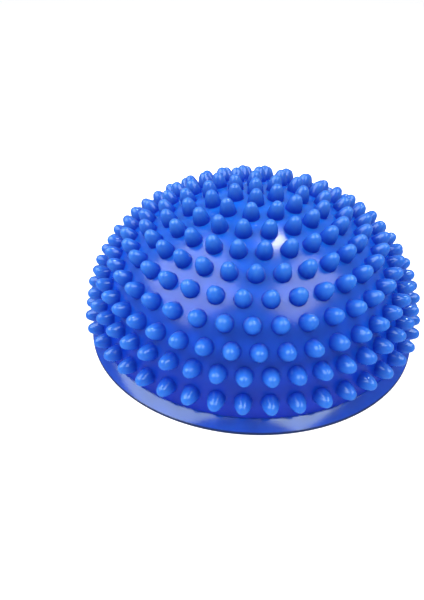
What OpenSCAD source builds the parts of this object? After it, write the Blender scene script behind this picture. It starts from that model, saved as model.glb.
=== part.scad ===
// Balance dome trainer: a hollow soft-plastic dome on a flat foot, covered in rows of massage studs,
// with an air valve in the middle of its underside. It stands on the floor with the studs upwards.
// Origin: middle of the foot, on the floor. +Z is the dome's axis. Millimetres.

/* [Foot] */
// Diameter of the foot on the floor
foot_d = 160; // [110:1:220]
// How far the flange stands out from the dome's wall
flange_w = 4.6; // [3:0.1:12]
// Height of the flange where its slope meets the dome
flange_h = 4.8; // [3:0.1:10]
// Height of the flange's upright outer edge
flange_edge_h = 1.4; // [0.6:0.1:2.5]
// Rounding of the flange's outer edge
flange_edge_round = 0.5; // [0.2:0.1:0.6]
// Small level step between the flange's slope and the dome
flange_step_w = 0.4; // [0.2:0.1:2]

/* [Dome] */
// Height of the skin's crown above the floor, without its stud
dome_h = 69.4; // [50:0.1:90]
// Height at which the dome is widest
waist_h = 7.9; // [7:0.1:15]
// Thickness of the skin
skin_t = 2.5; // [1.5:0.1:4]

/* [Studs] */
// Diameter of a stud at its foot
stud_d = 7.2; // [4:0.1:8.7]
// Height of a stud
stud_h = 6.9; // [4.5:0.1:10]
// Number of studs in each row, from the lowest row up
row_counts = [45, 45, 41, 37, 33, 29, 24, 18, 12, 6];
// Turn of each row, as a part of its own spacing, from the lowest row up
row_turns = [0.92, 0.92, 0.42, 0.13, 0.75, 0.17, 0.46, 0.62, 0.88, 0.04];
// Distance from the dome's waist up to the edge of the lowest row's studs
low_row_rise = 2.1; // [0:0.1:4]
// Extra room between the two lowest rows
low_row_gap = 1.3; // [0:0.1:2]

/* [Base] */
// Thickness of the sheet that closes the underside
base_t = 2.5; // [1.5:0.1:5]
// How far the sheet lies above the floor
base_recess = 1.2; // [0.6:0.1:2.5]
// Number of ribs that grip the floor
rib_count = 4; // [1:1:6]
// Width of a rib
rib_w = 2; // [1:0.1:4]

/* [Valve] */
// Diameter of the hole that the stopper plugs
valve_bore_d = 5; // [3:0.1:8]
// Wall of the neck around that hole
neck_wall = 3; // [1.5:0.1:5]
// Height of the neck above the base sheet
neck_h = 9; // [5:0.1:15]
// Diameter of the well that the stopper's head lies in
well_d = 16; // [12:0.1:24]
// Floor left above the well
well_floor_t = 2; // [1:0.1:3]
// Diameter of the stopper's head
stopper_head_d = 11.5; // [9:0.1:18]
// Thickness of the stopper's head
stopper_head_t = 1.6; // [1:0.1:2.4]
// How far the stopper's head lies above the underside of the base sheet
stopper_sink = 0.4; // [0:0.1:1]
// How far the stopper's shank reaches past the well's floor
stopper_reach = 7.5; // [4:0.1:12]
// Clearance all round the stopper's shank
stopper_clearance = 0.05; // [0.02:0.01:0.1]

/* [Hidden] */
$fn = 96;
stud_fn = 48;
cut = 1;
foot_r = foot_d / 2;
dome_r = foot_r - flange_w;
crown_h = dome_h - waist_h;
row_total = len(row_counts);

skin_colour = "#1c4fd0";
flange_colour = "#2a5fdc";
stud_colour = "#2f74f0";
base_colour = "#1a45b8";
stopper_colour = "#e9e6dd";

// A rounded quarter profile has a side arc that starts upright at its half width, and a cap arc
// that is level at its height. The arcs run into each other where the profile's normal leans from
// upright by the join angle. The joins are slopes of whole triangles, 3-4-5 and 8-15-17, so that
// every centre and radius is a short decimal and the arcs meet without a step.
dome_join = atan(3 / 4);
stud_join = atan(15 / 8);
function centre_gap(half_w, h, join) = (half_w - h) / (sin(join) + cos(join) - 1);
function side_radius(half_w, h, join) = half_w - centre_gap(half_w, h, join) * sin(join);
function cap_radius(half_w, h, join) = h + centre_gap(half_w, h, join) * cos(join);

module quarter_profile(half_w, h, join) {
  side_r = side_radius(half_w, h, join);
  cap_r = cap_radius(half_w, h, join);
  reach = 2 * (half_w + h);
  intersection() {
    square(reach);
    union() {
      intersection() {
        translate([0, h - cap_r]) circle(cap_r);
        translate([0, h - cap_r]) rotate(-join) translate([-reach, -reach]) square([reach, 2 * reach]);
      }
      intersection() {
        translate([half_w - side_r, 0]) circle(side_r);
        translate([0, h - cap_r]) rotate(-join) translate([0, -reach]) square([reach, 2 * reach]);
      }
    }
  }
}

// The dome's outline on one side of the axis, a given depth under its outer surface
module dome_outline(depth) {
  translate([0, waist_h]) quarter_profile(dome_r - depth, crown_h - depth, dome_join);
  square([dome_r - depth, waist_h]);
}

// Places on the dome's outer surface, by their distance from the crown along the surface
shoulder_r = side_radius(dome_r, crown_h, dome_join);
crown_r = cap_radius(dome_r, crown_h, dome_join);
crown_arc = crown_r * dome_join * PI / 180;
waist_arc = crown_arc + shoulder_r * (90 - dome_join) * PI / 180;

function slope_at(arc) = arc < crown_arc
  ? arc / crown_r * 180 / PI
  : dome_join + (arc - crown_arc) / shoulder_r * 180 / PI;
function radius_at(arc) = arc < crown_arc
  ? crown_r * sin(slope_at(arc))
  : dome_r - shoulder_r + shoulder_r * sin(slope_at(arc));
function height_at(arc) = arc < crown_arc
  ? dome_h - crown_r + crown_r * cos(slope_at(arc))
  : waist_h + shoulder_r * cos(slope_at(arc));

// The rows lie evenly from the crown stud down, but the lowest is set down a little, and the next
// one up, so that the extra room lies between them
low_drop = 0.4 * low_row_gap;
low_lift = low_row_gap - low_drop;
row_pitch = (waist_arc - low_row_rise - stud_d / 2 - low_drop) / row_total;
function row_arc(row) = (row_total + 1 - row) * row_pitch
  + (row == 1 ? low_drop : 0)
  - (row == 2 ? low_lift : 0);

module stud() {
  rotate_extrude($fn = stud_fn) quarter_profile(stud_d / 2, stud_h, stud_join);
}

module stud_row(row) {
  arc = row_arc(row);
  count = row_counts[row - 1];
  step = 360 / count;
  color(stud_colour)
    for (i = [0 : count - 1])
      rotate([0, 0, step * (i + row_turns[row - 1]) - 90])
        translate([radius_at(arc), 0, height_at(arc)])
          rotate([0, slope_at(arc), 0])
            stud();
}

module crown_stud() {
  color(stud_colour) translate([0, 0, dome_h]) stud();
}

module dome_skin() {
  color(skin_colour) rotate_extrude() difference() {
    dome_outline(0);
    dome_outline(skin_t);
  }
}

module rim_flange() {
  step_r = dome_r + flange_step_w;
  edge_r = foot_r - flange_edge_round;
  color(flange_colour) rotate_extrude() union() {
    polygon([[dome_r, 0], [edge_r, 0], [edge_r, flange_edge_round], [foot_r, flange_edge_round],
             [foot_r, flange_edge_h], [step_r, flange_h], [dome_r, flange_h]]);
    intersection() {
      translate([edge_r, flange_edge_round]) circle(flange_edge_round);
      translate([edge_r, 0]) square(flange_edge_round);
    }
  }
}

// Places of the stopper's well and neck in the base
well_r = well_d / 2;
well_top = base_recess + stopper_sink + stopper_head_t;
sheet_r = dome_r - skin_t;
neck_r = valve_bore_d / 2 + neck_wall;
neck_top = well_top + well_floor_t + neck_h;

module base_sheet() {
  color(base_colour) difference() {
    translate([0, 0, base_recess]) cylinder(h = base_t, r = sheet_r);
    translate([0, 0, base_recess - cut]) cylinder(h = base_t + 2 * cut, r = well_r + well_floor_t);
  }
}

module grip_ribs() {
  rib_space = (sheet_r - well_r - well_floor_t) / (rib_count + 1);
  color(base_colour)
    for (i = [1 : rib_count])
      rotate_extrude()
        translate([well_r + well_floor_t + i * rib_space - rib_w / 2, 0])
          square([rib_w, base_recess]);
}

module valve_neck() {
  color(base_colour) rotate_extrude() difference() {
    union() {
      translate([0, base_recess]) square([well_r + well_floor_t, well_top + well_floor_t - base_recess]);
      square([neck_r, neck_top]);
    }
    square([well_r, well_top]);
    square([valve_bore_d / 2, neck_top]);
  }
}

module valve_stopper() {
  shank_r = valve_bore_d / 2 - stopper_clearance;
  color(stopper_colour) {
    translate([0, 0, well_top - stopper_head_t]) cylinder(h = stopper_head_t, d = stopper_head_d);
    translate([0, 0, well_top]) cylinder(h = well_floor_t + stopper_reach, r = shank_r);
  }
}

dome_skin();
rim_flange();
base_sheet();
grip_ribs();
valve_neck();
valve_stopper();
crown_stud();
stud_row(1);  // stud_row_01
stud_row(2);  // stud_row_02
stud_row(3);  // stud_row_03
stud_row(4);  // stud_row_04
stud_row(5);  // stud_row_05
stud_row(6);  // stud_row_06
stud_row(7);  // stud_row_07
stud_row(8);  // stud_row_08
stud_row(9);  // stud_row_09
stud_row(10);  // stud_row_10
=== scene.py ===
"""Balance dome trainer: a hollow dome of soft blue plastic on a flat foot with a sloping flange,
covered in rows of rounded massage studs, with a stoppered air valve in the middle of its underside.
Metres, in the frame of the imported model: origin in the middle of the foot on the floor, +Z up."""

import math

import bpy
import numpy as np
from bpy.props import FloatProperty, FloatVectorProperty, IntProperty, PointerProperty
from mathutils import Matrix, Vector


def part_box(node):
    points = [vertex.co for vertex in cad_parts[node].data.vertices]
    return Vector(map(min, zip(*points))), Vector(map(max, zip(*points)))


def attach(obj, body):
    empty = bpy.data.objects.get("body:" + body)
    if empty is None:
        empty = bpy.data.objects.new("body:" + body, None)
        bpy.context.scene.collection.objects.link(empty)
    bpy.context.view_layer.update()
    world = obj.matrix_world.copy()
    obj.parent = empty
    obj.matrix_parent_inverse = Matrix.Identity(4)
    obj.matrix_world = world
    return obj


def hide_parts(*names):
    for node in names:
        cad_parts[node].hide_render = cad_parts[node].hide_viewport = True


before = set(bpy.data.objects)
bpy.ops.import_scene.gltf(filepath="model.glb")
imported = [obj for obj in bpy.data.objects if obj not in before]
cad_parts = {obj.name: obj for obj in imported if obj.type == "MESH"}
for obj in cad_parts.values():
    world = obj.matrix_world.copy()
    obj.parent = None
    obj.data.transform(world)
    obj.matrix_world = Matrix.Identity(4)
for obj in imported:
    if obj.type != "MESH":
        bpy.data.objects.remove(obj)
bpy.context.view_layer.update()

bl_info = {
    "name": "Balance dome trainer",
    "version": (1, 0, 0),
    "blender": (4, 5, 0),
    "location": "View3D > Sidebar > Dome trainer",
    "description": "Makes the pieces of a studded balance dome around its packed model",
    "category": "Add Mesh",
}

MM = 0.001
TOUCH = 0.001 * MM      # closer than this is the same place
BURY = 0.3 * MM         # how far a region of the moulding reaches into its neighbour
SMALL_ROUND = 0.2 * MM  # rounding of an inner corner of the valve
DOME_SIDES = 240        # faces round the dome and its flange
BASE_SIDES = 180        # faces round the base sheet and its rings
VALVE_SIDES = 96        # faces round the valve's tube
DOME_JOIN = math.atan(3 / 4)    # lean of the dome's surface where its two arcs meet
STUD_JOIN = math.atan(15 / 8)   # the same on a stud
STUD_NODES = sorted(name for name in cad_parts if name.startswith("stud_row"))


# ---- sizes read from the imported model

def corners_of(node):
    """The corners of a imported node's mesh: distance from the axis, height, and angle round the axis."""
    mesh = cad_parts[node].data
    found = np.empty(len(mesh.vertices) * 3)
    mesh.vertices.foreach_get("co", found)
    x, y, z = found.reshape(-1, 3).T
    return np.hypot(x, y), z, np.arctan2(y, x)


def widest_of(node):
    """Radius of a turned node's widest circle, and the height of that circle's upper edge."""
    radius, height, _ = corners_of(node)
    return radius.max(), height[radius > radius.max() - TOUCH].max()


def arc_pair(half_w, height, join):
    """Radii of the side arc and of the cap arc of a rounded quarter outline."""
    gap = (half_w - height) / (math.sin(join) + math.cos(join) - 1)
    return half_w - gap * math.sin(join), height + gap * math.cos(join)


class DomeSurface:
    """The dome's outer surface: an upright wall up to the waist, a shoulder arc and a crown arc."""

    def __init__(self):
        self.waist_r, self.waist_h = widest_of("dome_skin")
        self.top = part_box("dome_skin")[1].z
        radius, height, _ = corners_of("dome_skin")
        self.skin_t = self.waist_r - radius[height < TOUCH].min()
        self.shoulder_r, self.crown_r = arc_pair(self.waist_r, self.top - self.waist_h, DOME_JOIN)

    def outline(self, depth, steps):
        """Points of the surface a depth under the outer one, from the crown down to the waist."""
        points = []
        for lean in np.linspace(0, DOME_JOIN, steps)[:-1]:
            r = self.crown_r - depth
            points.append((r * math.sin(lean), self.top - self.crown_r + r * math.cos(lean)))
        for lean in np.linspace(DOME_JOIN, math.pi / 2, steps):
            r = self.shoulder_r - depth
            points.append((self.waist_r - self.shoulder_r + r * math.sin(lean),
                           self.waist_h + r * math.cos(lean)))
        return points

    def distance(self, radius, height):
        """How far points lie above the surface, and the lean of the surface's normal there."""
        crown_h = height - (self.top - self.crown_r)
        side_x = radius - (self.waist_r - self.shoulder_r)
        side_h = np.maximum(height - self.waist_h, 0)
        on_crown = np.arctan2(radius, crown_h) < DOME_JOIN
        above = np.where(on_crown, np.hypot(radius, crown_h) - self.crown_r,
                         np.hypot(side_x, side_h) - self.shoulder_r)
        lean = np.where(on_crown, np.arctan2(radius, crown_h), np.arctan2(side_x, side_h))
        return above, lean


def place_row(node, dome):
    """Where the studs of a packed row stand: foot radius, foot height, lean, and their angles."""
    radius, height, angle = corners_of(node)
    above, lean = dome.distance(radius, height)
    tips = above > above.max() - 0.01 * MM
    lean, reach = lean[tips].mean(), above.max()
    foot_r = radius[tips].mean() - reach * math.sin(lean)
    foot_h = height[tips].mean() - reach * math.cos(lean)
    angle = np.sort(angle)
    gaps = np.diff(np.append(angle, angle[0] + 2 * math.pi))
    ends = np.flatnonzero(gaps > gaps.max() / 2)
    starts = np.roll(ends, 1) + 1
    count = len(ends)
    middles = [(angle[s % len(angle)] + angle[e] + (2 * math.pi if s > e else 0)) / 2
               for s, e in zip(starts, ends)]
    turn = np.angle(np.exp(1j * count * np.array(middles)).mean()) / count
    return foot_r, foot_h, lean, [turn + 2 * math.pi * i / count for i in range(count)]


# ---- mesh tools

def round_corners(corners, steps=5):
    """A closed outline with its corners rounded. Each corner is (radius, height, rounding)."""
    points = []
    for k, (x, y, rounding) in enumerate(corners):
        here = Vector((x, y))
        back = (Vector(corners[k - 1][:2]) - here).normalized()
        ahead = (Vector(corners[(k + 1) % len(corners)][:2]) - here).normalized()
        half = back.angle(ahead) / 2
        if rounding == 0 or half > math.radians(89):
            points.append((x, y))
            continue
        middle = here + (back + ahead).normalized() * rounding / math.sin(half)
        start = here + back * rounding / math.tan(half) - middle
        end = here + ahead * rounding / math.tan(half) - middle
        for share in np.linspace(0, 1, steps):
            points.append(tuple(middle + start.slerp(end, share).normalized() * rounding))
    return points


def turn_outline(outline, sides, closed=True):
    """Points and faces of an outline turned round the Z axis. Points on the axis become poles."""
    points, rings = [], []
    for radius, height in outline:
        first = len(points)
        if radius < TOUCH:
            points.append((0, 0, height))
            rings.append([first] * sides)
            continue
        for k in range(sides):
            a = 2 * math.pi * k / sides
            points.append((radius * math.cos(a), radius * math.sin(a), height))
        rings.append(list(range(first, first + sides)))
    faces = []
    pairs = list(zip(rings, rings[1:])) + ([(rings[-1], rings[0])] if closed else [])
    for lower, upper in pairs:
        for k in range(sides):
            n = (k + 1) % sides
            face = [lower[k], lower[n], upper[n], upper[k]]
            face = [p for i, p in enumerate(face) if p != face[i - 1]]
            if len(face) > 2:
                faces.append(face)
    return points, faces


def new_piece(name, points, faces, material, slot, body, *nodes):
    """A smooth-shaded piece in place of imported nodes, riding on their body."""
    mesh = bpy.data.meshes.new(name)
    mesh.from_pydata(points, [], faces)
    mesh.validate()
    mesh.polygons.foreach_set("use_smooth", [True] * len(mesh.polygons))
    mesh.set_sharp_from_angle(angle=math.radians(40))
    mesh.materials.append(material)
    piece = bpy.data.objects.new(name, mesh)
    bpy.context.scene.collection.objects.link(piece)
    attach(piece, body)
    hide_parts(*nodes)
    return piece


def add_attribute(piece, name, values):
    """A number for each point of a piece, for its material to read."""
    attribute = piece.data.attributes.new(name, "FLOAT", "POINT")
    attribute.data.foreach_set("value", values)


# ---- material tools

class Finish:
    """A material with one Principled shader and short ways to add patterns in front of it."""

    def __init__(self, name):
        self.material = bpy.data.materials.new(name)
        self.material.use_nodes = True
        self.tree = self.material.node_tree
        self.shader = self.tree.nodes["Principled BSDF"]
        self.place = self.node("ShaderNodeTexCoord").outputs["Object"]

    def node(self, kind, **settings):
        made = self.tree.nodes.new(kind)
        for name, value in settings.items():
            setattr(made, name, value)
        return made

    def link(self, output, socket):
        self.tree.links.new(output, socket)

    def set(self, **values):
        """Plain values on the shader's own sockets, named with _ for a space."""
        for name, value in values.items():
            self.shader.inputs[name.replace("_", " ")].default_value = value

    def noise(self, size, detail):
        """Soft noise whose blots are about that size in metres, from 0 to 1."""
        made = self.node("ShaderNodeTexNoise")
        self.link(self.place, made.inputs["Vector"])
        made.inputs["Scale"].default_value = 1 / size
        made.inputs["Detail"].default_value = detail
        return made.outputs["Fac"]

    def ramp(self, fac, *stops):
        """Colours along a value. Each stop is (place, colour)."""
        made = self.node("ShaderNodeValToRGB")
        elements = made.color_ramp.elements
        while len(elements) < len(stops):
            elements.new(0.5)
        for element, (place, colour) in zip(elements, stops):
            element.position = place
            element.color = (*colour[:3], 1)
        self.link(fac, made.inputs["Fac"])
        return made.outputs["Color"]

    def mix(self, fac, first, second, blend="MIX"):
        """Two colours mixed; fac may be a number or an output."""
        made = self.node("ShaderNodeMix", data_type="RGBA", blend_type=blend)
        for value, socket in ((fac, made.inputs[0]), (first, made.inputs[6]), (second, made.inputs[7])):
            if isinstance(value, bpy.types.NodeSocket):
                self.link(value, socket)
            else:
                socket.default_value = value
        return made.outputs[2]

    def spread(self, fac, low, high):
        """A 0 to 1 value stretched to run from low to high."""
        made = self.node("ShaderNodeMapRange")
        made.inputs["To Min"].default_value = low
        made.inputs["To Max"].default_value = high
        self.link(fac, made.inputs["Value"])
        return made.outputs["Result"]

    def bump(self, height, depth, before=None):
        """Relief of that depth in metres from a 0 to 1 height, over an earlier relief if given."""
        made = self.node("ShaderNodeBump")
        made.inputs["Strength"].default_value = 1
        made.inputs["Distance"].default_value = depth
        self.link(height, made.inputs["Height"])
        if before is not None:
            self.link(before, made.inputs["Normal"])
        return made.outputs["Normal"]

    def attribute(self, name):
        return self.node("ShaderNodeAttribute", attribute_name=name).outputs["Fac"]


def shade(colour, factor):
    """A colour made darker or lighter."""
    return [min(1, c * factor) for c in colour[:3]]


def moulded_pvc(name, stops, roughness, wave, **values):
    """Soft PVC straight off the mould: cloudy colour, with painted shade and painted light that change
    with height, long soft waves and faint fine grain. Each stop is (height, colour), from the floor up.
    The values go to the shader."""
    f = Finish(name)
    top = stops[-1][0]
    rise = f.node("ShaderNodeMapRange")
    rise.inputs["From Max"].default_value = top
    split = f.node("ShaderNodeSeparateXYZ")
    f.link(f.place, split.inputs["Vector"])
    f.link(split.outputs["Z"], rise.inputs["Value"])
    # painted light and shade: this colour ramp by height stands in for how light falls on the part
    base = f.ramp(rise.outputs["Result"], *[(height / top, colour) for height, colour in stops])
    cloud = f.ramp(f.noise(14 * MM, 3), (0.3, (0.82, 0.82, 0.82)), (0.7, (1, 1, 1)))
    f.link(f.mix(1, base, cloud, "MULTIPLY"), f.shader.inputs["Base Color"])
    worn = f.spread(f.noise(5 * MM, 4), roughness - 0.04, roughness + 0.05)
    f.link(worn, f.shader.inputs["Roughness"])
    waves = f.bump(f.noise(9 * MM, 1), wave)
    f.link(f.bump(f.noise(0.5 * MM, 2), 0.004 * MM, waves), f.shader.inputs["Normal"])
    f.set(IOR=1.5, Subsurface_Weight=0.6, Subsurface_Radius=(0.15, 0.45, 1.0), Subsurface_Scale=1.6 * MM)
    f.set(**values)
    return f.material


def grained_pvc(colour):
    """The same PVC with the fine leathery grain of the mould's matt floor, made once."""
    made = bpy.data.materials.get("base_pvc")
    if made is not None:
        return made
    f = Finish("base_pvc")
    cloud = f.ramp(f.noise(18 * MM, 4), (0.3, shade(colour, 0.85)), (0.7, shade(colour, 1.15)))
    f.link(cloud, f.shader.inputs["Base Color"])
    cells = f.node("ShaderNodeTexVoronoi", feature="SMOOTH_F1")
    cells.inputs["Scale"].default_value = 1 / (0.9 * MM)
    f.link(f.place, cells.inputs["Vector"])
    grain = f.bump(cells.outputs["Distance"], 0.06 * MM)
    f.link(f.bump(f.noise(12 * MM, 2), 0.1 * MM, grain), f.shader.inputs["Normal"])
    f.link(f.spread(f.noise(6 * MM, 3), 0.42, 0.56), f.shader.inputs["Roughness"])
    f.set(IOR=1.5, Subsurface_Weight=0.4, Subsurface_Radius=(0.15, 0.45, 1.0), Subsurface_Scale=1.5 * MM)
    return f.material


# ---- settings

def length(name, text, default, **limits):
    """A size setting in metres."""
    return FloatProperty(name=name, description=text, default=default, unit="LENGTH",
                         precision=5, **limits)


def colour(name, text, default):
    """A colour setting."""
    return FloatVectorProperty(name=name, description=text, default=default, subtype="COLOR",
                               size=3, min=0, max=1)


def plain(name, text, default):
    """A share or strength setting."""
    return FloatProperty(name=name, description=text, default=default, min=0)


class SkinSettings(bpy.types.PropertyGroup):
    # painted light and shade: the skin is painted darker at the foot and lighter towards the crown, as
    # light falls from above
    colour: colour("Skin colour", "Blue of the dome's wall at the foot", (0.003, 0.022, 0.48))
    lit_crown_colour: colour("Crown colour", "Blue of the wall at the crown", (0.006, 0.125, 0.64))
    roughness: plain("Roughness", "How matt the skin is", 0.2)
    wave: length("Wave height", "Height of the soft waves in the skin", 0.06 * MM)


class StudSettings(bpy.types.PropertyGroup):
    # painted shade and light: a stud is painted dark at its foot and paler at its tip
    foot_colour: colour("Foot colour", "Blue of a stud at its foot", (0.003, 0.022, 0.42))
    lit_tip_colour: colour("Tip colour", "Blue of a stud at its tip", (0.03, 0.17, 0.64))
    roughness: plain("Roughness", "How matt the studs are", 0.08)
    fillet: length("Fillet", "Rounding between a stud and the skin", 0.2 * MM)
    sides: IntProperty(name="Sides", description="Faces round one stud", default=28, min=12)


class FlangeSettings(bpy.types.PropertyGroup):
    colour: colour("Flange colour", "Blue of the sloping flange", (0.005, 0.068, 0.54))
    # painted shade: the upright outer edge next to the floor is painted darker blue; the plastic there is
    # the same
    edge_shade_colour: colour("Edge colour", "Darker blue of the trimmed outer edge", (0.003, 0.018, 0.12))
    foot_colour: colour("Foot colour", "Blue of the flange's underside", (0.006, 0.055, 0.42))
    roughness: plain("Roughness", "How matt the flange is", 0.15)
    edge_round: length("Edge rounding", "Rounding of the flange's upper edge", 0.2 * MM)


class UndersideSettings(bpy.types.PropertyGroup):
    colour: colour("Underside colour", "Blue of the base sheet and its ribs", (0.006, 0.055, 0.42))
    rounding: length("Corner rounding", "Rounding of the ribs and of the neck", 0.35 * MM)


class StopperSettings(bpy.types.PropertyGroup):
    colour: colour("Stopper colour", "Off-white of the push-in stopper", (0.82, 0.8, 0.74))
    rounding: length("Rim rounding", "Rounding of the head's rim", 0.35 * MM)
    dish_d: length("Dish diameter", "Diameter of the shallow dish in the head", 7 * MM)
    dish_depth: length("Dish depth", "Depth of that dish", 0.35 * MM)


class StageSettings(bpy.types.PropertyGroup):
    floor_colour: colour("Floor colour", "Pale colour of the studio floor", (0.9, 0.9, 0.9))
    floor_glow: plain("Floor glow", "Light that the pale floor gives off by itself", 0.74)
    box_strength: plain("Soft box strength", "Brightness of the two soft boxes", 3.8)
    lamp_strength: plain("Lamp strength", "Brightness of the small bare lamp", 32)
    room_strength: plain("Room strength", "Brightness of the pale room", 0.3)
    lens: FloatProperty(name="Lens", description="Focal length of the camera, in millimetres",
                        default=32.0)
    camera_place: FloatVectorProperty(name="Camera place", description="Where the camera stands",
                                      default=(0, -0.2266, 0.163), subtype="TRANSLATION")
    camera_aim: FloatVectorProperty(name="Camera aim", description="What the camera looks at",
                                    default=(-0.0195, 0, 0.0101), subtype="TRANSLATION")


class TrainerSettings(bpy.types.PropertyGroup):
    skin: PointerProperty(type=SkinSettings)
    studs: PointerProperty(type=StudSettings)
    flange: PointerProperty(type=FlangeSettings)
    underside: PointerProperty(type=UndersideSettings)
    stopper: PointerProperty(type=StopperSettings)
    stage: PointerProperty(type=StageSettings)


# ---- operators, one for each piece or group of like pieces

class TRAINER_OT_skin(bpy.types.Operator):
    """Make the dome's hollow skin"""
    bl_idname = "trainer.skin"
    bl_label = "Dome skin"

    def execute(self, context):
        s = context.scene.trainer.skin
        dome = DomeSurface()
        outer = dome.outline(0, 40)
        inner = dome.outline(dome.skin_t, 24)
        foot = [(dome.waist_r, 0), (dome.waist_r - dome.skin_t, 0)]
        points, faces = turn_outline(outer + foot + inner[::-1], DOME_SIDES, closed=False)
        # painted shade low on the skin and painted light towards the crown
        stops = ((0, s.colour), (dome.top, s.lit_crown_colour))
        material = moulded_pvc("skin_pvc", stops, s.roughness, s.wave)
        new_piece("skin", points, faces, material, "skin_pvc", "dome", "dome_skin")
        return {"FINISHED"}


class TRAINER_OT_flange(bpy.types.Operator):
    """Make the flange with its sloping top round the foot"""
    bl_idname = "trainer.flange"
    bl_label = "Flange"

    def execute(self, context):
        s = context.scene.trainer.flange
        dome_r = DomeSurface().waist_r
        foot_r, edge_h = widest_of("rim_flange")
        radius, height, _ = corners_of("rim_flange")
        top = height.max()
        step_r = radius[height > top - TOUCH].max()
        lower_round = foot_r - radius[height < TOUCH].max()
        fillet = 0.15 * MM
        corners = [
            (dome_r - BURY, 0, 0), (foot_r, 0, lower_round), (foot_r, edge_h, s.edge_round),
            (step_r, top, fillet), (dome_r, top, fillet), (dome_r, top + fillet, 0),
            (dome_r - BURY, top + fillet, 0),
        ]
        points, faces = turn_outline(round_corners(corners), DOME_SIDES)
        # painted shade: from just above the floor to the edge's top the flange is painted dark, standing
        # in for the shade along its upright edge
        stops = ((0, s.foot_colour), (0.1 * MM, s.edge_shade_colour), (edge_h, s.edge_shade_colour),
                 (1.2 * edge_h, s.colour))
        wave = 0.015 * MM
        material = moulded_pvc("flange_pvc", stops, s.roughness, wave,
                               Specular_IOR_Level=0.8, Specular_Tint=(0.82, 1, 0.84, 1))
        new_piece("flange", points, faces, material, "skin_pvc", "dome", "rim_flange")
        return {"FINISHED"}


class TRAINER_OT_studs(bpy.types.Operator):
    """Make the rows of massage studs and the one on the crown"""
    bl_idname = "trainer.studs"
    bl_label = "Massage studs"

    def finish(self, s):
        """Solid soft PVC, painted paler towards the tip as light and darker at the foot as shade."""
        f = Finish("stud_pvc")
        rise = f.attribute("rise")
        # painted shade at the foot and painted light towards the tip
        body = f.ramp(rise, (0, s.foot_colour), (0.8, s.lit_tip_colour))
        deep, pale = (0.002, 0.05, 0.5, 1), (0.035, 0.19, 0.66, 1)
        toned = f.mix(f.attribute("tone"), body, deep)
        cloud = f.spread(f.noise(3 * MM, 2), 0, 0.12)
        f.link(f.mix(cloud, toned, pale), f.shader.inputs["Base Color"])
        worn = f.spread(f.noise(2.5 * MM, 3), s.roughness - 0.03, s.roughness + 0.04)
        gloss = f.ramp(rise, (0, (1, 1, 1)), (0.4, (0, 0, 0)))
        f.link(f.mix(gloss, worn, (0.3, 0.3, 0.3, 1)), f.shader.inputs["Roughness"])
        f.link(f.ramp(rise, (0.03, (0.05, 0.05, 0.05)), (0.4, (0.6, 0.6, 0.6))),
               f.shader.inputs["Specular IOR Level"])
        f.link(f.bump(f.noise(1.2 * MM, 3), 0.015 * MM), f.shader.inputs["Normal"])
        f.set(IOR=1.5, Subsurface_Weight=0.45, Subsurface_Radius=(0.15, 0.45, 1.0),
              Subsurface_Scale=1 * MM, Specular_Tint=(0.75, 0.95, 1, 1))
        return f.material

    def outline(self, s, half_w, height):
        """The stud's outline from its buried foot over the fillet to the tip."""
        side_r, tip_r = arc_pair(half_w, height, STUD_JOIN)
        points = [(0, -BURY), (half_w + s.fillet, -BURY)]
        for a in np.linspace(0, math.pi / 2, 4)[:-1]:
            points.append((half_w + s.fillet * (1 - math.sin(a)), s.fillet * (1 - math.cos(a))))
        join_h = side_r * math.cos(STUD_JOIN)
        for a in np.linspace(math.asin(s.fillet / side_r), math.asin(join_h / side_r), 7)[:-1]:
            points.append((half_w - side_r + side_r * math.cos(a), side_r * math.sin(a)))
        for lean in np.linspace(STUD_JOIN, 0, 8):
            points.append((tip_r * math.sin(lean), height - tip_r + tip_r * math.cos(lean)))
        return points

    def execute(self, context):
        s = context.scene.trainer.studs
        dome = DomeSurface()
        low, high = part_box("crown_stud")
        half_w, height = (high.x - low.x) / 2, high.z - low.z
        local, stud_faces = turn_outline(self.outline(s, half_w, height), s.sides, closed=False)
        local = np.array(local)
        rise = np.clip(local[:, 2] / height, 0, 1)
        hug_h = 2 * MM      # up to here a stud's foot bends with the skin
        hug = np.clip(1 - local[:, 2] / hug_h, 0, 1)
        material = self.finish(s)
        tones = np.random.default_rng(7)
        rows = [("studs_" + node[5:], node, place_row(node, dome)) for node in STUD_NODES]
        rows.append(("stud_crown", "crown_stud", (0, dome.top, 0, [0])))
        for name, node, (foot_r, foot_h, lean, angles) in rows:
            x = local[:, 0] * math.cos(lean) + local[:, 2] * math.sin(lean) + foot_r
            z = local[:, 2] * math.cos(lean) - local[:, 0] * math.sin(lean) + foot_h
            y = local[:, 1]
            above, _ = dome.distance(np.hypot(x, y), z)
            drop = hug * (above - local[:, 2])
            x, z = x - drop * math.sin(lean), z - drop * math.cos(lean)
            points, faces, tone = [], [], []
            for a in angles:
                first = len(points)
                points += zip(x * math.cos(a) - y * math.sin(a), x * math.sin(a) + y * math.cos(a), z)
                faces += [[first + p for p in face] for face in stud_faces]
                tone += [tones.uniform(0, 0.18)] * len(local)
            piece = new_piece(name, points, faces, material, "stud_pvc", "dome", node)
            add_attribute(piece, "rise", np.tile(rise, len(angles)))
            add_attribute(piece, "tone", tone)
        return {"FINISHED"}


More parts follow.
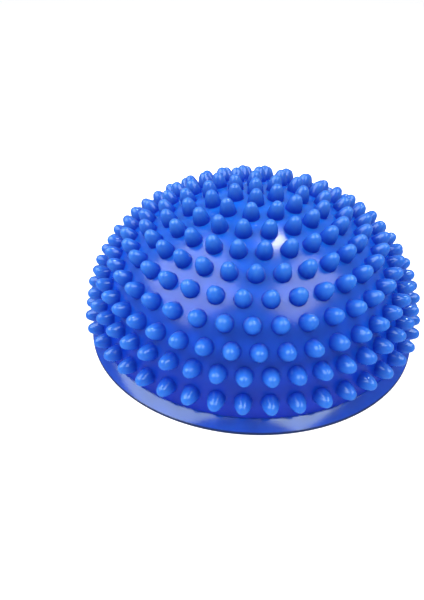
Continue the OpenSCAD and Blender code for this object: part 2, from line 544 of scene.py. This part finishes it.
class TRAINER_OT_base(bpy.types.Operator):
    """Make the sheet that closes the dome's underside"""
    bl_idname = "trainer.base"
    bl_label = "Base sheet"

    def execute(self, context):
        s = context.scene.trainer.underside
        dome = DomeSurface()
        wall_r = dome.waist_r - dome.skin_t
        low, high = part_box("base_sheet")
        plate_r = corners_of("valve_neck")[0].max()
        lip = 0.7 * MM
        lip_round = 0.6 * MM
        corners = [
            (plate_r - BURY, low.z, 0), (wall_r, low.z, lip_round), (wall_r, low.z - lip, 0),
            (wall_r + BURY, low.z - lip, 0), (wall_r + BURY, high.z, 0), (plate_r - BURY, high.z, 0),
        ]
        points, faces = turn_outline(round_corners(corners), BASE_SIDES)
        new_piece("base_floor", points, faces, grained_pvc(s.colour), "base_pvc", "dome", "base_sheet")
        return {"FINISHED"}


class TRAINER_OT_ribs(bpy.types.Operator):
    """Make the rings that stand under the base sheet and grip the floor"""
    bl_idname = "trainer.ribs"
    bl_label = "Grip rings"

    def execute(self, context):
        s = context.scene.trainer.underside
        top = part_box("grip_ribs")[1].z
        edges = np.unique(np.round(corners_of("grip_ribs")[0] / (10 * TOUCH))) * 10 * TOUCH
        points, faces = [], []
        for inner, outer in edges.reshape(-1, 2):
            corners = [
                (inner, 0, s.rounding), (outer, 0, s.rounding), (outer, top, s.rounding),
                (outer + s.rounding, top, 0), (outer + s.rounding, top + BURY, 0),
                (inner - s.rounding, top + BURY, 0), (inner - s.rounding, top, 0),
                (inner, top, s.rounding),
            ]
            ring_points, ring_faces = turn_outline(round_corners(corners), BASE_SIDES)
            first = len(points)
            points += ring_points
            faces += [[first + p for p in face] for face in ring_faces]
        new_piece("grip_rings", points, faces, grained_pvc(s.colour), "base_pvc", "dome", "grip_ribs")
        return {"FINISHED"}


class TRAINER_OT_neck(bpy.types.Operator):
    """Make the well in the underside and the tube above it that the stopper plugs"""
    bl_idname = "trainer.neck"
    bl_label = "Valve tube"

    def execute(self, context):
        s = context.scene.trainer.underside
        radius, height, _ = corners_of("valve_neck")
        low, top = height.min(), height.max()
        bore_r, plate_r = radius.min(), radius.max()
        well_r = radius[height < low + TOUCH].min()
        neck_r = radius[height > top - TOUCH].max()
        well_top = height[(radius < well_r + TOUCH) & (radius > well_r - TOUCH)].max()
        plate_top = height[radius > plate_r - TOUCH].max()
        r = s.rounding
        corners = [
            (plate_r, low, 0), (plate_r, plate_top, r), (neck_r, plate_top, r), (neck_r, top, r),
            (bore_r, top, r), (bore_r, well_top, SMALL_ROUND), (well_r, well_top, r), (well_r, low, r),
        ]
        points, faces = turn_outline(round_corners(corners), VALVE_SIDES)
        new_piece("valve_tube", points, faces, grained_pvc(s.colour), "base_pvc", "dome", "valve_neck")
        return {"FINISHED"}


class TRAINER_OT_stopper(bpy.types.Operator):
    """Make the push-in stopper of the valve"""
    bl_idname = "trainer.stopper"
    bl_label = "Valve stopper"

    def execute(self, context):
        s = context.scene.trainer.stopper
        radius, height, _ = corners_of("valve_stopper")
        low, top = height.min(), height.max()
        head_r, head_top = widest_of("valve_stopper")
        shank_r = radius[height > top - TOUCH].max()
        dish_r = s.dish_d / 2
        lead_h, lead_w = 0.8 * MM, 0.45 * MM    # the slope that leads the shank into its bore
        corners = [
            (0, low + s.dish_depth, 0), (dish_r - s.dish_depth, low + s.dish_depth, 0.3 * MM),
            (dish_r, low, SMALL_ROUND), (head_r, low, s.rounding), (head_r, head_top, s.rounding),
            (shank_r, head_top, 0.15 * MM), (shank_r, top - lead_h, 0.4 * MM),
            (shank_r - lead_w, top, SMALL_ROUND), (0, top, 0),
        ]
        points, faces = turn_outline(round_corners(corners), 72, closed=False)
        f = Finish("stopper_plastic")
        cloud = f.ramp(f.noise(4 * MM, 3), (0.3, shade(s.colour, 0.93)), (0.7, s.colour))
        specks = f.ramp(f.noise(0.25 * MM, 1), (0.28, (1, 1, 1)), (0.36, (0, 0, 0)))
        f.link(f.mix(f.mix(0.12, (0, 0, 0, 1), specks), cloud, (0.5, 0.46, 0.38, 1)),
               f.shader.inputs["Base Color"])
        f.link(f.spread(f.noise(1.5 * MM, 3), 0.34, 0.48), f.shader.inputs["Roughness"])
        f.link(f.bump(f.noise(0.3 * MM, 2), 0.01 * MM), f.shader.inputs["Normal"])
        f.set(IOR=1.5, Subsurface_Weight=0.25, Subsurface_Radius=(1.0, 0.8, 0.6),
              Subsurface_Scale=0.8 * MM)
        new_piece("stopper_plug", points, faces, f.material, "stopper_plastic", "stopper",
                  "valve_stopper")
        return {"FINISHED"}


class TRAINER_OT_stage(bpy.types.Operator):
    """Make the pale floor, the soft studio light and the camera"""
    bl_idname = "trainer.stage"
    bl_label = "Studio stage"

    def execute(self, context):
        s = context.scene.trainer.stage
        self.floor(s)
        self.light("soft_box_left", -75, 53.5, 1.05, 0.92, s.box_strength)
        self.light("soft_box_right", 67, 57, 0.92, 0.5, 1.1 * s.box_strength)
        self.light("bare_lamp", 145, 70, 0.12, 0.2, s.lamp_strength)
        self.room(context.scene, s)
        self.camera(context.scene, s)
        context.scene.view_settings.view_transform = "Standard"
        return {"FINISHED"}

    def floor(self, s):
        """A wide pale sheet. Seen from under, it is clear, so that the underside can be looked at."""
        half = 4.0
        z = -0.05 * MM
        mesh = bpy.data.meshes.new("studio_floor")
        mesh.from_pydata([(-half, -half, z), (half, -half, z), (half, half, z), (-half, half, z)],
                         [], [(0, 1, 2, 3)])
        f = Finish("floor_paper")
        tint = f.ramp(f.noise(60 * MM, 3), (0.3, shade(s.floor_colour, 0.985)), (0.7, s.floor_colour))
        f.link(tint, f.shader.inputs["Base Color"])
        f.link(tint, f.shader.inputs["Emission Color"])
        f.set(Emission_Strength=s.floor_glow, Roughness=0.9, Specular_IOR_Level=0.1)
        clear = f.node("ShaderNodeBsdfTransparent")
        either = f.node("ShaderNodeMixShader")
        f.link(f.node("ShaderNodeNewGeometry").outputs["Backfacing"], either.inputs["Fac"])
        f.link(f.shader.outputs["BSDF"], either.inputs[1])
        f.link(clear.outputs["BSDF"], either.inputs[2])
        f.link(either.outputs["Shader"], f.tree.nodes["Material Output"].inputs["Surface"])
        mesh.materials.append(f.material)
        floor = bpy.data.objects.new("studio_floor", mesh)
        floor.visible_glossy = False
        bpy.context.scene.collection.objects.link(floor)

    def light(self, name, azimuth, elevation, width, height, strength):
        """A rectangle of light 1 m from the foot's middle. Azimuth runs from the front towards +X."""
        a, e = math.radians(azimuth), math.radians(elevation)
        away = Vector((math.sin(a) * math.cos(e), -math.cos(a) * math.cos(e), math.sin(e)))
        data = bpy.data.lights.new(name, "AREA")
        data.shape = "RECTANGLE"
        data.size, data.size_y = width, height
        data.energy = strength * math.pi * width * height
        lamp = bpy.data.objects.new(name, data)
        lamp.location = away
        lamp.rotation_euler = away.to_track_quat("Z", "Y").to_euler()
        lamp.visible_camera = False
        bpy.context.scene.collection.objects.link(lamp)

    def room(self, scene, s):
        """The weak pale light that comes from all round."""
        world = bpy.data.worlds.new("pale_room")
        world.use_nodes = True
        background = world.node_tree.nodes["Background"]
        background.inputs["Color"].default_value = (0.95, 0.97, 1, 1)
        background.inputs["Strength"].default_value = s.room_strength
        scene.world = world

    def camera(self, scene, s):
        """The camera, a little above the dome and close in front of it."""
        data = bpy.data.cameras.new("camera")
        data.lens = s.lens
        data.clip_start = 0.01
        camera = bpy.data.objects.new("camera", data)
        camera.location = s.camera_place
        aim = Vector(s.camera_aim) - Vector(s.camera_place)
        camera.rotation_euler = aim.to_track_quat("-Z", "Y").to_euler()
        scene.collection.objects.link(camera)
        scene.camera = camera


class TRAINER_PT_panel(bpy.types.Panel):
    """The dome trainer's pieces and their settings"""
    bl_idname = "TRAINER_PT_panel"
    bl_label = "Balance dome trainer"
    bl_space_type = "VIEW_3D"
    bl_region_type = "UI"
    bl_category = "Dome trainer"

    def draw(self, context):
        settings = context.scene.trainer
        for operator, group in STEPS:
            box = self.layout.box()
            box.operator(operator.bl_idname)
            values = getattr(settings, group)
            for name in values.bl_rna.properties.keys():
                if name not in ("name", "rna_type"):
                    box.prop(values, name)


STEPS = (
    (TRAINER_OT_stage, "stage"),
    (TRAINER_OT_skin, "skin"),
    (TRAINER_OT_flange, "flange"),
    (TRAINER_OT_studs, "studs"),
    (TRAINER_OT_base, "underside"),
    (TRAINER_OT_ribs, "underside"),
    (TRAINER_OT_neck, "underside"),
    (TRAINER_OT_stopper, "stopper"),
)
CLASSES = (
    SkinSettings, StudSettings, FlangeSettings, UndersideSettings, StopperSettings, StageSettings,
    TrainerSettings, *(operator for operator, _ in STEPS), TRAINER_PT_panel,
)


def register():
    for cls in CLASSES:
        bpy.utils.register_class(cls)
    bpy.types.Scene.trainer = PointerProperty(type=TrainerSettings)


def unregister():
    del bpy.types.Scene.trainer
    for cls in reversed(CLASSES):
        bpy.utils.unregister_class(cls)


def main():
    """Makes the stage and every piece."""
    register()
    bpy.ops.trainer.stage()
    bpy.ops.trainer.skin()
    bpy.ops.trainer.flange()
    bpy.ops.trainer.studs()
    bpy.ops.trainer.base()
    bpy.ops.trainer.ribs()
    bpy.ops.trainer.neck()
    bpy.ops.trainer.stopper()


if __name__ == "__main__":
    main()
